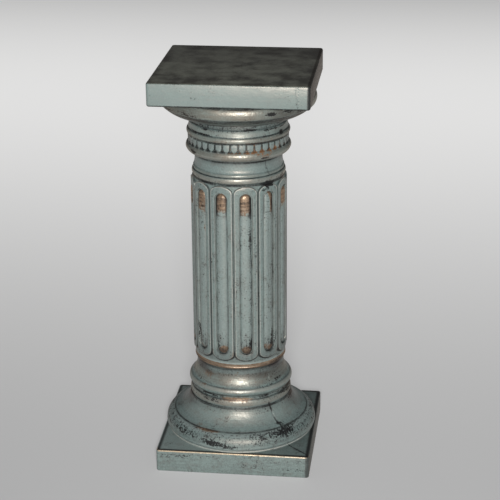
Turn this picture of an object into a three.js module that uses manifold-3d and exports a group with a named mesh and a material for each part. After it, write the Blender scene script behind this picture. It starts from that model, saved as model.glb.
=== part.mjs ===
// A decorative pedestal column, cast in one piece: square plinth, turned base mouldings,
// a shaft of twelve arched panels with a rod in each, turned capital mouldings and a square abacus.
// Millimetres, +Z up, origin on the floor under the middle of the plinth, front towards -Y.

import * as THREE from 'three';
import { mergeVertices } from 'three/addons/utils/BufferGeometryUtils.js';
import Module from 'manifold-3d';

const wasm = await Module();
wasm.setup();

// Driving dimensions of the whole column
const HEIGHT = 700;
const PLINTH_WIDTH = 268;
const ABACUS_WIDTH = 266;
const PLATE_THICKNESS = 40;
const PLATE_CORNER_RADIUS = 5;
const PLINTH_EDGE = 1.5;
const ABACUS_EDGE = 3.5;

// Turned work: base mouldings on the plinth, the shaft, and capital mouldings under the abacus
const BASE_MOULDINGS = 147.5;
const CAPITAL_MOULDINGS = 146;
const BASE_BOTTOM = PLATE_THICKNESS;
const SHAFT_BOTTOM = BASE_BOTTOM + BASE_MOULDINGS;
const CAPITAL_TOP = HEIGHT - PLATE_THICKNESS;
const SHAFT_TOP = CAPITAL_TOP - CAPITAL_MOULDINGS;
const FOOT_RADIUS = 121;
const ECHINUS_TOP_RADIUS = 127;

// Shaft: a plain core, with raised panels and a rod in each panel
const CORE_RADIUS_BOTTOM = 79.3;
const CORE_RADIUS_TOP = 78.5;
const PANELS = 12;
const PANEL_RADIUS = 82.4;
const PANEL_HALF_WIDTH = 19.3;
const PANEL_BOTTOM = SHAFT_BOTTOM + 6.5;
const PANEL_TOP = SHAFT_TOP - 4;
const PANEL_ARCH_RISE = 11;
const CHANNEL_RADIUS = 78.6;
const CHANNEL_HALF_WIDTH = 10.8;
const CHANNEL_BOTTOM = PANEL_BOTTOM + 11.5;
const CHANNEL_TOP = PANEL_TOP - 12;
const ROD_HALF_WIDTH = 10;
const ROD_RADIUS = 83;
const ROD_DEPTH = 5.2;
const ROD_GAP = 0.8;

// Course of small blocks round the capital; the phase turns it off the middle of the front, in degrees
const BLOCKS = 40;
const BLOCK_PHASE = 2.5;
const BLOCK_BOTTOM = CAPITAL_TOP - 88.5;
const BLOCK_TOP = CAPITAL_TOP - 75.6;
const BLOCK_WIDTH = 10.4;
const BLOCK_RADIUS = 85.4;
const BLOCK_BED_RADIUS = 83.4;

// How finely round things are cut, and how deep joined shapes reach into each other
const TURNED_SIDES = 36;
const ROD_SIDES = 12;
const BURIED = 8;

/** Adds a run to a turned outline, up to radius r at height z, on an arc that bows out by `bow`. */
function run(outline, r, z, bow = 0, steps = 1) {
  const start = outline[outline.length - 1];
  const end = new THREE.Vector2(r, z);
  if (bow === 0) {
    outline.push(end);
    return;
  }
  const chord = end.clone().sub(start);
  const half = chord.length() / 2;
  const radius = (half * half + bow * bow) / (2 * Math.abs(bow));
  const outward = new THREE.Vector2(chord.y, -chord.x).normalize().multiplyScalar(Math.sign(bow));
  for (let i = 1; i <= steps; i++) {
    const along = (2 * i / steps - 1) * half;
    const height = Math.sqrt(radius * radius - along * along) - (radius - Math.abs(bow));
    outline.push(start.clone().addScaledVector(chord, i / steps).addScaledVector(outward, height));
  }
}

/** The outline of all the turned work, from inside the plinth up to inside the abacus. */
function turnedOutline() {
  const outline = [new THREE.Vector2(0, BASE_BOTTOM - BURIED)];
  run(outline, FOOT_RADIUS, BASE_BOTTOM - BURIED);
  addBaseMouldings(outline);
  run(outline, CORE_RADIUS_TOP, SHAFT_TOP);
  addCapitalMouldings(outline);
  run(outline, 0, CAPITAL_TOP + BURIED);
  return outline;
}

/** Base mouldings, at heights above the plinth. */
function addBaseMouldings(outline) {
  const to = (r, height, bow, steps) => run(outline, r, BASE_BOTTOM + height, bow, steps);
  // Large torus, standing on the plinth
  to(FOOT_RADIUS, 0);
  to(133.4, 12, 3.4, 2);
  to(118.6, 32, 4.2, 4);
  // Rim and hollow flare
  to(117.3, 32.2);
  to(117.3, 34.4);
  to(89.8, 66.4, -5.8, 5);
  // Thin ring
  to(88.7, 67.8);
  to(88, 78.8, 1.2, 2);
  // Narrow hollow and rounded lip
  to(86.6, 87.2, -1.1, 2);
  to(91.3, 94.5, 1.2, 2);
  to(89.6, 100);
  // Hollow flare up to the shaft
  to(76.7, 125, -3.1, 4);
  to(77, 136);
  // Foot roll of the shaft
  to(CORE_RADIUS_BOTTOM, BASE_MOULDINGS, 1.4, 3);
}

/** Capital mouldings, at depths below the abacus. */
function addCapitalMouldings(outline) {
  const to = (r, depth, bow, steps) => run(outline, r, CAPITAL_TOP - depth, bow, steps);
  // Neck with three thin rings, widest at the bottom
  to(79, 136, 1.2, 3);
  to(77, 130, 0.6, 2);
  to(75.4, 124, 0.5, 2);
  to(75.2, 106.5);
  // Roll
  to(89.6, 97.5, 3.2, 3);
  to(85.2, 88.5, 1.6, 2);
  // Bed of the blocks
  to(BLOCK_BED_RADIUS, 87.7);
  to(BLOCK_BED_RADIUS, 75.6);
  // Ring, and the sloping face over it
  to(85.3, 75);
  to(86.1, 64, 2.1, 3);
  to(83.9, 52.5);
  // Dark fillet
  to(82.2, 50.5);
  to(82.4, 40);
  // Echinus, a flattened cushion
  to(84, 38.7);
  to(127, 24.5, 4.9, 4);
  to(133, 14.5, 1.3, 2);
  to(ECHINUS_TOP_RADIUS, 0, 2.4, 3);
  to(ECHINUS_TOP_RADIUS, -BURIED);
}

/** A closed solid of revolution about the Z axis. */
function turned(outline) {
  const geometry = new THREE.LatheGeometry(outline, TURNED_SIDES);
  geometry.rotateX(Math.PI / 2);
  return solid(geometry);
}

/** A square plate with round corners and softened edges, its underside at `bottom`. */
function plate(width, bottom, edge) {
  const half = width / 2;
  const straight = half - PLATE_CORNER_RADIUS;
  const corner = Math.PI / 2;
  const shape = new THREE.Shape();
  shape.absarc(straight, straight, PLATE_CORNER_RADIUS, 0, corner);
  shape.absarc(-straight, straight, PLATE_CORNER_RADIUS, corner, 2 * corner);
  shape.absarc(-straight, -straight, PLATE_CORNER_RADIUS, 2 * corner, 3 * corner);
  shape.absarc(straight, -straight, PLATE_CORNER_RADIUS, 3 * corner, 4 * corner);
  const geometry = new THREE.ExtrudeGeometry(shape, {
    depth: PLATE_THICKNESS - 2 * edge,
    bevelThickness: edge,
    bevelSize: edge,
    bevelOffset: -edge,
    bevelSegments: 2,
    curveSegments: 1,
  });
  geometry.translate(0, 0, bottom + edge);
  return solid(geometry);
}

/** An outline in the (sideways, up) plane of the front, made solid from radius `inner` to `outer`. */
function radialPrism(shape, inner, outer, curveSegments) {
  const depth = outer - inner;
  const geometry = new THREE.ExtrudeGeometry(shape, { depth, bevelEnabled: false, curveSegments });
  geometry.rotateX(Math.PI / 2);
  geometry.translate(0, -inner, 0);
  return solid(geometry);
}

/** An upright strip with both ends rounded by half an ellipse. */
function archedStrip(halfWidth, bottom, top, rise) {
  const shape = new THREE.Shape();
  shape.absellipse(0, top - rise, halfWidth, rise, 0, Math.PI, false, 0);
  shape.absellipse(0, bottom + rise, halfWidth, rise, Math.PI, 2 * Math.PI, false, 0);
  return shape;
}

/** One raised panel on the front of the shaft, with its channel cut out and its rod laid in. */
function panel() {
  const strip = archedStrip(PANEL_HALF_WIDTH, PANEL_BOTTOM, PANEL_TOP, PANEL_ARCH_RISE);
  const skin = turned([
    new THREE.Vector2(0, PANEL_BOTTOM - BURIED),
    new THREE.Vector2(PANEL_RADIUS, PANEL_BOTTOM - BURIED),
    new THREE.Vector2(PANEL_RADIUS, PANEL_TOP + BURIED),
    new THREE.Vector2(0, PANEL_TOP + BURIED),
  ]);
  const raised = radialPrism(strip, CHANNEL_RADIUS - BURIED, PANEL_RADIUS + BURIED, 3).intersect(skin);
  const slot = archedStrip(CHANNEL_HALF_WIDTH, CHANNEL_BOTTOM, CHANNEL_TOP, CHANNEL_HALF_WIDTH);
  const channel = radialPrism(slot, CHANNEL_RADIUS, PANEL_RADIUS + BURIED, 3);
  return raised.subtract(channel).add(rod());
}

/** The convex rod of one panel, domed at both ends. */
function rod() {
  const bottom = CHANNEL_BOTTOM + ROD_GAP;
  const top = CHANNEL_TOP - ROD_GAP;
  const outline = new THREE.Path();
  outline.absarc(0, bottom + ROD_HALF_WIDTH, ROD_HALF_WIDTH, -Math.PI / 2, 0);
  outline.absarc(0, top - ROD_HALF_WIDTH, ROD_HALF_WIDTH, 0, Math.PI / 2);
  const points = outline.getPoints(2);
  points[0].x = 0;
  points[points.length - 1].x = 0;
  const geometry = new THREE.LatheGeometry(points, ROD_SIDES);
  geometry.rotateX(Math.PI / 2);
  geometry.scale(1, ROD_DEPTH / ROD_HALF_WIDTH, 1);
  geometry.translate(0, ROD_DEPTH - ROD_RADIUS, 0);
  return solid(geometry);
}

/** One small block of the capital's course: flat on top and rounded below. */
function block() {
  const half = BLOCK_WIDTH / 2;
  const shape = new THREE.Shape();
  shape.moveTo(-half, BLOCK_TOP);
  shape.absellipse(0, BLOCK_BOTTOM + half, half, half, Math.PI, 2 * Math.PI, false, 0);
  shape.lineTo(half, BLOCK_TOP);
  return radialPrism(shape, BLOCK_RADIUS - BURIED, BLOCK_RADIUS, 2);
}

/** A three.js geometry, closed, as an exact solid with its faces pointing out. */
function solid(geometry) {
  geometry.deleteAttribute('normal');
  geometry.deleteAttribute('uv');
  const merged = mergeVertices(geometry, 1e-4);
  const vertProperties = merged.attributes.position.array;
  const triVerts = withoutSlivers(merged.index.array);
  if (signedVolume(vertProperties, triVerts) < 0) {
    triVerts.reverse();
  }
  return new wasm.Manifold(new wasm.Mesh({ numProp: 3, vertProperties, triVerts }));
}

/** Leaves out triangles that merging has closed to a line. */
function withoutSlivers(index) {
  const kept = [];
  for (let i = 0; i < index.length; i += 3) {
    const [a, b, c] = index.slice(i, i + 3);
    if (a !== b && b !== c && c !== a) {
      kept.push(a, b, c);
    }
  }
  return new Uint32Array(kept);
}

function signedVolume(positions, index) {
  const corners = [new THREE.Vector3(), new THREE.Vector3(), new THREE.Vector3()];
  let volume = 0;
  for (let i = 0; i < index.length; i += 3) {
    corners.forEach((corner, k) => corner.fromArray(positions, 3 * index[i + k]));
    volume += corners[0].dot(corners[1].clone().cross(corners[2])) / 6;
  }
  return volume;
}

/** The same solid turned about the Z axis. */
function turnedTo(shape, degrees) {
  return solid(geometryOf(shape).rotateZ(THREE.MathUtils.degToRad(degrees)));
}

/** The whole casting: turned work, panels all round, the course of blocks and both plates. */
function columnSolid() {
  const frontPanel = panel();
  const frontBlock = block();
  let column = turned(turnedOutline());
  for (let i = 0; i < PANELS; i++) {
    column = column.add(turnedTo(frontPanel, (i + 0.5) * 360 / PANELS));
  }
  for (let i = 0; i < BLOCKS; i++) {
    column = column.add(turnedTo(frontBlock, BLOCK_PHASE + i * 360 / BLOCKS));
  }
  column = column.add(plate(PLINTH_WIDTH, 0, PLINTH_EDGE));
  return column.add(plate(ABACUS_WIDTH, CAPITAL_TOP, ABACUS_EDGE));
}

/** The surface of an exact solid as a three.js geometry. */
function geometryOf(shape) {
  const { vertProperties, triVerts } = shape.getMesh();
  const geometry = new THREE.BufferGeometry();
  geometry.setAttribute('position', new THREE.BufferAttribute(vertProperties, 3));
  geometry.setIndex(new THREE.BufferAttribute(triVerts, 1));
  return geometry;
}

function meshOf(shape, name, material) {
  const mesh = new THREE.Mesh(geometryOf(shape), material);
  mesh.geometry.computeVertexNormals();
  mesh.name = name;
  return mesh;
}

const verdigrisPaint = new THREE.MeshStandardMaterial({ color: 0x6f8a8c, roughness: 0.42, metalness: 0.35 });

const decorativeColumn = new THREE.Group();
decorativeColumn.add(meshOf(columnSolid(), 'column', verdigrisPaint));

export default decorativeColumn;
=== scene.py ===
# %% [markdown]
# # A verdigris bronze column
#
# The object is one plaster casting, 70 cm tall: a square plinth, turned base mouldings, a shaft of twelve
# round-arched panels that each hold a convex rod, turned capital mouldings with a course of small blocks,
# and a square abacus. It is painted bronze, then blue-green, rubbed back where a hand would rub it, and
# wiped with a dark wash last. Lengths on the column are in millimetres, as a mould maker would write them,
# and MM turns them into metres. The camera, the lamp and the floor are placed in metres.

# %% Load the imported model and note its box
import math

import bpy
from mathutils import Matrix, Vector


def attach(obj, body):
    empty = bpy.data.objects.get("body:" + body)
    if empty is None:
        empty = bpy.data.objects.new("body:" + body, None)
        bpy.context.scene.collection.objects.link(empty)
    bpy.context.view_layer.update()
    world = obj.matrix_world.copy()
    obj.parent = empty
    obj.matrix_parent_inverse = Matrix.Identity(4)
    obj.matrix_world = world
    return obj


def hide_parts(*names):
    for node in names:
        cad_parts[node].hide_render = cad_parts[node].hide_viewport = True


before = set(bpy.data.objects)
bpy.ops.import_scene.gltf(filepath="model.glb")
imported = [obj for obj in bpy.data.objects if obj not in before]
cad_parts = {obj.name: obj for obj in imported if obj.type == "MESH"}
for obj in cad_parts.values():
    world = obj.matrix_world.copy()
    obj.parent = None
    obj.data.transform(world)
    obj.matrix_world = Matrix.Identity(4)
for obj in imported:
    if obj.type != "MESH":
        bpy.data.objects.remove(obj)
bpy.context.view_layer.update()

MM = 0.001
scene = bpy.context.scene

# %% [markdown]
# ## Camera
#
# The camera stands at chest height, a little to the right of the front, and looks down at about twenty
# degrees. Its place comes from the corners of the two square plates, whose true shape is known.

# %% Camera
CAMERA_PLACE = Vector((0.3326, -2.5841, 1.3549))
CAMERA_LENS = 115.04
SENSOR_WIDTH = 36.0
CAMERA_TARGET = Vector((0.0183, 0.0, 0.3695))
CAMERA_ROLL = math.radians(-0.438)


def aim(place, target, roll=0.0):
    """A camera or lamp pose at place, looking at target, tipped about its own line of sight."""
    turn = (target - place).to_track_quat("-Z", "Y").to_matrix().to_4x4()
    return Matrix.Translation(place) @ turn @ Matrix.Rotation(roll, 4, "Z")


bpy.ops.object.camera_add()
camera = bpy.context.object
camera.name = "camera"
camera.data.lens = CAMERA_LENS
camera.data.sensor_width = SENSOR_WIDTH
camera.matrix_world = aim(CAMERA_PLACE, CAMERA_TARGET, CAMERA_ROLL)
scene.camera = camera
print("camera", [round(value, 3) for value in camera.location])

# %% [markdown]
# ## Light
#
# One soft lamp just behind the camera makes the short bright highlights in the middle of every moulding. A
# pale sky fills the shadows. It is brighter at the front left and falls off towards the back right, so the
# sides of the mouldings stay darker and the roundness reads.

# %% Light
KEY_LAMP_PLACE = Vector((0.33, -2.66, 1.36))
KEY_LAMP_TARGET = Vector((0.0, 0.0, 0.36))
KEY_LAMP_WIDTH = 0.42
KEY_LAMP_WATTS = 91.0
SKY_COLOUR = (0.86, 0.88, 0.92, 1.0)
SKY_FRONT, SKY_BACK = 0.22, 0.10
SKY_FALL = (0.50, 0.87, 0.0)
SKY_FALL_START, SKY_FALL_END = -0.9, 0.3

bpy.ops.object.light_add(type="AREA")
key_lamp = bpy.context.object
key_lamp.name = "key_lamp"
key_lamp.data.shape = "DISK"
key_lamp.data.size = KEY_LAMP_WIDTH
key_lamp.data.energy = KEY_LAMP_WATTS
key_lamp.matrix_world = aim(KEY_LAMP_PLACE, KEY_LAMP_TARGET)

world = bpy.data.worlds.new("pale_sky")
world.use_nodes = True
background = world.node_tree.nodes["Background"]
background.inputs["Color"].default_value = SKY_COLOUR
direction = world.node_tree.nodes.new("ShaderNodeTexCoord")
towards_back = world.node_tree.nodes.new("ShaderNodeVectorMath")
towards_back.operation = "DOT_PRODUCT"
towards_back.inputs[1].default_value = SKY_FALL
fade = world.node_tree.nodes.new("ShaderNodeMapRange")
fade_inputs = {
    "From Min": SKY_FALL_START, "From Max": SKY_FALL_END, "To Min": SKY_FRONT, "To Max": SKY_BACK,
}
for name, value in fade_inputs.items():
    fade.inputs[name].default_value = value
world.node_tree.links.new(direction.outputs["Generated"], towards_back.inputs[0])
world.node_tree.links.new(towards_back.outputs["Value"], fade.inputs["Value"])
world.node_tree.links.new(fade.outputs["Result"], background.inputs["Strength"])
scene.world = world
scene.view_settings.view_transform = "Standard"
print("key lamp", key_lamp.data.energy, "W")

# %% [markdown]
# ## Shader arithmetic
#
# A wear pattern is arithmetic on coordinates. Written as nodes by hand it is unreadable, so a small class
# wraps a socket and turns Python's operators into Math nodes. Colours go through Mix nodes instead.

# %% A socket that can be reckoned with


class Value:
    """One number that varies over the surface, as the output socket of a node."""

    def __init__(self, paint, socket):
        self.paint = paint
        self.socket = socket

    def math(self, operation, *others, clamp=False):
        sockets = self.paint.node(
            "ShaderNodeMath", {"operation": operation, "use_clamp": clamp}, (self, *others)
        )
        return sockets[0]

    def __add__(self, other):
        return self.math("ADD", other)

    def __sub__(self, other):
        return self.math("SUBTRACT", other)

    def __rsub__(self, other):
        return self.paint.number("SUBTRACT", other, self)

    def __mul__(self, other):
        return self.math("MULTIPLY", other)

    def __truediv__(self, other):
        return self.math("DIVIDE", other)

    __radd__ = __add__
    __rmul__ = __mul__

    def __abs__(self):
        return self.math("ABSOLUTE")

    def clamped(self):
        return self.math("ADD", 0.0, clamp=True)

    def ramped(self, start, end, amount=1.0):
        """0 before start, amount after end, smooth between them; end may be the lower one."""
        settings = {"interpolation_type": "SMOOTHSTEP"}
        low, high, at_low, at_high = (start, end, 0.0, amount) if start < end else (end, start, amount, 0.0)
        return self.paint.node("ShaderNodeMapRange", settings, (self, low, high, at_low, at_high))[0]

    def near(self, middle, reach):
        """1 at middle, falling smoothly to 0 at that reach on both sides."""
        return abs(self - middle).ramped(reach, 0.0)


NOISE_GAIN = 5.0
MIX_SHARE, MIX_FIRST, MIX_SECOND, MIX_RESULT = 0, 6, 7, 2


class Paint:
    """A material under construction: makes its nodes and joins them up."""

    def __init__(self, name):
        self.material = bpy.data.materials.new(name)
        self.material.use_nodes = True
        self.tree = self.material.node_tree
        self.shader = self.tree.nodes["Principled BSDF"]

    def node(self, kind, settings=None, inputs=()):
        """Adds a node, sets it, fills its inputs by place or by name, and returns its outputs."""
        made = self.tree.nodes.new(kind)
        for name, value in (settings or {}).items():
            if name == "stops":
                self.set_stops(made.color_ramp, value)
            else:
                setattr(made, name, value)
        pairs = inputs.items() if isinstance(inputs, dict) else enumerate(inputs)
        for key, value in pairs:
            self.fill(made.inputs[key], value)
        return [Value(self, socket) for socket in made.outputs if socket.enabled]

    def fill(self, socket, value):
        if isinstance(value, Value):
            self.tree.links.new(value.socket, socket)
        else:
            socket.default_value = value

    def number(self, operation, *inputs):
        return self.node("ShaderNodeMath", {"operation": operation}, inputs)[0]

    def set_stops(self, ramp, stops):
        """A ramp's stops, as (position, grey or colour)."""
        while len(ramp.elements) < len(stops):
            ramp.elements.new(1.0)
        for element, (position, shade) in zip(ramp.elements, stops):
            element.position = position
            element.color = (*shade, 1.0) if isinstance(shade, tuple) else (shade, shade, shade, 1.0)

    def mixed(self, share, first, second):
        """A colour that goes from first to second as share goes from 0 to 1."""
        made = self.tree.nodes.new("ShaderNodeMix")
        made.data_type = "RGBA"
        made.clamp_factor = True
        self.fill(made.inputs[MIX_SHARE], share)
        for key, shade in ((MIX_FIRST, first), (MIX_SECOND, second)):
            self.fill(made.inputs[key], shade if isinstance(shade, Value) else (*shade, 1.0))
        return Value(self, made.outputs[MIX_RESULT])

    def noise(self, place, size, detail=4.0, roughness=0.55, stretch=(1.0, 1.0, 1.0)):
        """Cloudy noise, mostly from -1 to 1, whose lumps are about that many millimetres across."""
        scale = tuple(1.0 / (size * MM * part) for part in stretch)
        spread = self.node("ShaderNodeVectorMath", {"operation": "MULTIPLY"}, (place, scale))[0]
        inputs = {"Vector": spread, "Scale": 1.0, "Detail": detail, "Roughness": roughness}
        cloudy = self.node("ShaderNodeTexNoise", {}, inputs)[0]
        return self.number("MULTIPLY_ADD", cloudy, NOISE_GAIN, -NOISE_GAIN / 2)


print("shader arithmetic ready")

# %% [markdown]
# ## The floor
#
# A plain pale floor, far wider than the picture, so that its edge never shows. It glows softly behind the
# column.

# %% Floor
FLOOR_SIZE = 60.0
FLOOR_COLOUR = (0.42, 0.42, 0.42)
FLOOR_ROUGHNESS = 0.8
FLOOR_GLOW_COLOUR = (1.0, 0.995, 0.985)
GLOW_LEAST, GLOW_MOST = 0.04, 0.66
GLOW_PLACE = 2.4
GLOW_REACH = 3.6

bpy.ops.mesh.primitive_plane_add(size=FLOOR_SIZE)
floor = bpy.context.object
floor.name = "floor"
floor_paint = Paint("pale_floor")
floor_place = floor_paint.node("ShaderNodeTexCoord")[3]
floor_y = floor_paint.node("ShaderNodeSeparateXYZ", {}, (floor_place,))[1]
pool = floor_y.near(GLOW_PLACE, GLOW_REACH)
glow_dim = tuple(GLOW_LEAST * part for part in FLOOR_GLOW_COLOUR)
glow_full = tuple(GLOW_MOST * part for part in FLOOR_GLOW_COLOUR)
floor_paint.fill(floor_paint.shader.inputs["Base Color"], (*FLOOR_COLOUR, 1.0))
floor_paint.fill(floor_paint.shader.inputs["Roughness"], FLOOR_ROUGHNESS)
floor_paint.fill(floor_paint.shader.inputs["Emission Color"], floor_paint.mixed(pool, glow_dim, glow_full))
floor_paint.fill(floor_paint.shader.inputs["Emission Strength"], 1.0)
floor.data.materials.append(floor_paint.material)
print("floor", FLOOR_SIZE, "m")

# %% [markdown]
# ## Working in edit mode
#
# Operators act on what is selected, so helpers do the selecting: one leaves edit mode with nothing
# selected, one makes a piece the active one, and two pick vertices or edges by a test on their place in
# millimetres.

# %% Helpers for edit mode
NEAR_ENOUGH = 0.01


def start_clean():
    """Object mode with nothing selected."""
    if bpy.context.object and bpy.context.object.mode != "OBJECT":
        bpy.ops.object.mode_set(mode="OBJECT")
    bpy.ops.object.select_all(action="DESELECT")


def make_active(piece):
    start_clean()
    piece.select_set(True)
    bpy.context.view_layer.objects.active = piece


def pick_vertices(piece, test):
    """In edit mode, selects just the vertices whose place in millimetres passes the test."""
    bpy.ops.mesh.select_mode(type="VERT")
    bpy.ops.mesh.select_all(action="DESELECT")
    bpy.ops.object.mode_set(mode="OBJECT")
    for vertex in piece.data.vertices:
        vertex.select = bool(test(vertex.co / MM))
    bpy.ops.object.mode_set(mode="EDIT")


def pick_edges(piece, test):
    """In edit mode, selects just the edges whose two ends in millimetres pass the test."""
    bpy.ops.mesh.select_mode(type="EDGE")
    bpy.ops.mesh.select_all(action="DESELECT")
    bpy.ops.object.mode_set(mode="OBJECT")
    for edge in piece.data.edges:
        first, second = (piece.data.vertices[index].co / MM for index in edge.vertices)
        edge.select = bool(test(first, second))
    bpy.ops.object.mode_set(mode="EDIT")


def triangle_count(piece):
    return sum(len(polygon.vertices) - 2 for polygon in piece.data.polygons)


def apply_place(piece):
    make_active(piece)
    bpy.ops.object.transform_apply(location=True, rotation=True, scale=True)


print("edit helpers ready")

# %% [markdown]
# ## The two square plates
#
# Plinth and abacus are plain slabs of the same thickness. A cube at its true size gets its upright corners
# rounded first and its flat edges softened after, because a cast edge is never sharp.

# %% Plinth and abacus
COLUMN_HEIGHT = 700.0
PLATE_THICKNESS = 40.0
PLINTH_WIDTH = 268.0
ABACUS_WIDTH = 266.0
PLATE_CORNER_RADIUS = 5.0
PLINTH_EDGE = 1.8
ABACUS_EDGE = 3.4
CORNER_STEPS = 4
EDGE_STEPS = 3


def upright(first, second):
    return abs(first.z - second.z) > NEAR_ENOUGH


def flat_rim(first, second):
    return abs(first.z - second.z) < NEAR_ENOUGH


def square_plate(name, width, bottom, edge):
    middle = bottom + PLATE_THICKNESS / 2
    start_clean()
    bpy.ops.mesh.primitive_cube_add(size=1.0, location=(0.0, 0.0, middle * MM))
    plate = bpy.context.object
    plate.name = name
    plate.scale = (width * MM, width * MM, PLATE_THICKNESS * MM)
    apply_place(plate)
    bpy.ops.object.mode_set(mode="EDIT")
    pick_edges(plate, upright)
    bpy.ops.mesh.bevel(offset=PLATE_CORNER_RADIUS * MM, segments=CORNER_STEPS)
    pick_edges(plate, flat_rim)
    bpy.ops.mesh.bevel(offset=edge * MM, segments=EDGE_STEPS)
    bpy.ops.object.mode_set(mode="OBJECT")
    print(name, triangle_count(plate), "triangles")
    return plate


plinth = square_plate("plinth", PLINTH_WIDTH, 0.0, PLINTH_EDGE)
abacus = square_plate("abacus", ABACUS_WIDTH, COLUMN_HEIGHT - PLATE_THICKNESS, ABACUS_EDGE)

# %% [markdown]
# ## The turned mouldings
#
# Base, shaft core and capital are what a lathe would leave. Their outline is drawn once, point by point up
# the side, and spun round the axis. Each row below is a radius, a height and how far the line to that point
# bows outwards, so a torus is one row with a big bow and a hollow is one with a negative bow.

# %% The outline of the mouldings
SHAFT_BOTTOM = 187.5
SHAFT_TOP = 514.0
CAPITAL_TOP = 660.0
SINK = 12.0
ARC_STEP = 1.6

BASE_OUTLINE = (
    # fine fillet on the plinth, then the great torus with the step on top of it
    (130.8, 40.3, 0.0), (131.0, 41.4, 0.2), (129.6, 43.0, 0.0), (133.4, 52.0, 1.8), (118.6, 72.0, 4.2),
    # first hollow flare, up to a thin ring
    (117.3, 72.3, 0.0), (117.3, 74.4, 0.0), (89.8, 106.4, -5.8),
    (88.7, 107.8, -0.3), (88.0, 118.8, 1.2),
    # narrow hollow and the rounded lip over it
    (86.6, 127.2, -1.1), (91.3, 134.5, 1.2), (89.6, 140.0, 0.5),
    # second hollow flare and the foot roll of the shaft
    (76.7, 165.0, -3.1), (76.9, 176.0, 0.0), (78.6, 177.0, 0.4), (79.0, 181.6, 1.3), (79.7, 187.0, 0.2),
    (79.3, SHAFT_BOTTOM, 0.0),
)

CAPITAL_OUTLINE = (
    # three thin rings and the smooth neck
    (78.5, 512.5, 0.0), (79.0, 514.8, -0.3), (79.0, 524.0, 1.4), (77.4, 524.6, 0.0), (77.0, 530.2, 0.8),
    (75.8, 530.8, 0.0), (75.4, 536.0, 0.5), (75.2, 553.5, -0.3),
    # the roll and the bed of the blocks
    (89.6, 562.5, 3.2), (85.2, 571.5, 1.6), (83.4, 572.3, 0.0), (83.4, 584.4, 0.0),
    # ring, its fine crease, and the slope above
    (85.3, 585.0, 0.0), (86.3, 595.6, 2.3), (85.6, 596.2, 0.0), (83.9, 607.5, -0.4),
    # dark fillet and the cushion of the echinus
    (82.2, 609.5, 0.0), (82.4, 620.0, 0.0), (84.0, 621.3, 0.0), (127.0, 635.5, 4.9),
    (133.0, 645.5, 1.3), (127.0, 660.0, 2.4),
)


def arc_points(start, end, bow):
    """Points on the circular arc from start to end that bows out by that much, without start."""
    chord = end - start
    if not bow:
        return [start + chord]
    length = chord.length
    outward = Vector((chord.y, -chord.x)) / length
    half_angle = 2 * math.atan2(2 * bow, length)
    arc_radius = length / (2 * math.sin(half_angle))
    count = math.ceil((length + 2 * abs(bow)) / ARC_STEP)
    points = []
    for index in range(1, count + 1):
        angle = half_angle * (2 * index / count - 1)
        side = arc_radius * (math.cos(angle) - math.cos(half_angle))
        travel = 0.5 + arc_radius * math.sin(angle) / length
        points.append(start + chord * travel + outward * side)
    return points


def outline_points():
    """The whole outline as (radius, height), from inside the plinth to inside the abacus."""
    rows = (
        (BASE_OUTLINE[0][0], PLATE_THICKNESS - SINK, 0.0),
        *BASE_OUTLINE,
        *CAPITAL_OUTLINE,
        (CAPITAL_OUTLINE[-1][0], CAPITAL_TOP + SINK, 0.0),
    )
    points = [Vector(rows[0][:2])]
    for radius, height, bow in rows[1:]:
        points += arc_points(points[-1], Vector((radius, height)), bow)
    return points


outline = outline_points()
print("outline", len(outline), "points")

# %% Spin the outline
SPIN_STEPS = 192


def turned_piece(name, points):
    """One vertex is drawn out along the outline and the line is spun round the axis."""
    start_clean()
    bpy.ops.mesh.primitive_plane_add(size=MM)
    piece = bpy.context.object
    piece.name = name
    bpy.ops.object.mode_set(mode="EDIT")
    bpy.ops.mesh.select_mode(type="VERT")
    bpy.ops.mesh.select_all(action="SELECT")
    bpy.ops.mesh.merge(type="CENTER")
    first = points[0]
    bpy.ops.transform.translate(value=(first.x * MM, 0.0, first.y * MM))
    for before, after in zip(points, points[1:]):
        move = (after - before) * MM
        bpy.ops.mesh.extrude_region_move(TRANSFORM_OT_translate={"value": (move.x, 0.0, move.y)})
    bpy.ops.mesh.select_all(action="SELECT")
    bpy.ops.mesh.spin(steps=SPIN_STEPS, angle=math.tau, center=(0, 0, 0), axis=(0, 0, 1))
    bpy.ops.mesh.select_all(action="SELECT")
    bpy.ops.mesh.remove_doubles(threshold=NEAR_ENOUGH * MM)
    for end in (points[0].y, points[-1].y):
        pick_vertices(piece, lambda place, end=end: abs(place.z - end) < NEAR_ENOUGH)
        bpy.ops.mesh.edge_face_add()
    bpy.ops.mesh.select_all(action="SELECT")
    bpy.ops.mesh.normals_make_consistent(inside=False)
    bpy.ops.object.mode_set(mode="OBJECT")
    print(name, triangle_count(piece), "triangles")
    return piece


turned = turned_piece("turned_body", outline)

# %% [markdown]
# ## One panel and one rod
#
# A panel is a flat band with two round-arched outlines, an outer one and the channel's. Two circles are
# stretched to those outlines and bridged, the band is drawn out to its thickness and its edges are rounded.
# A Simple Deform modifier then bends it round the shaft, as a strip of card would bend.

# %% Panel
PANELS = 12
PANEL_RADIUS = 82.4
PANEL_DEPTH = 6.0
PANEL_HALF_WIDTH = 19.3
PANEL_BOTTOM = 194.0
PANEL_TOP = 510.0
PANEL_ARCH_RISE = 12.0
CHANNEL_HALF_WIDTH = 11.2
CHANNEL_BOTTOM = 205.0
CHANNEL_TOP = 498.5
CHANNEL_ARCH_RISE = 11.2
PANEL_SHAPE = (PANEL_HALF_WIDTH, PANEL_BOTTOM, PANEL_TOP, PANEL_ARCH_RISE)
CHANNEL_SHAPE = (CHANNEL_HALF_WIDTH, CHANNEL_BOTTOM, CHANNEL_TOP, CHANNEL_ARCH_RISE)
ARCH_STEPS = 42
PANEL_EDGE = 1.1
PANEL_EDGE_STEPS = 2
ON_OUTLINE = 0.02


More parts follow.
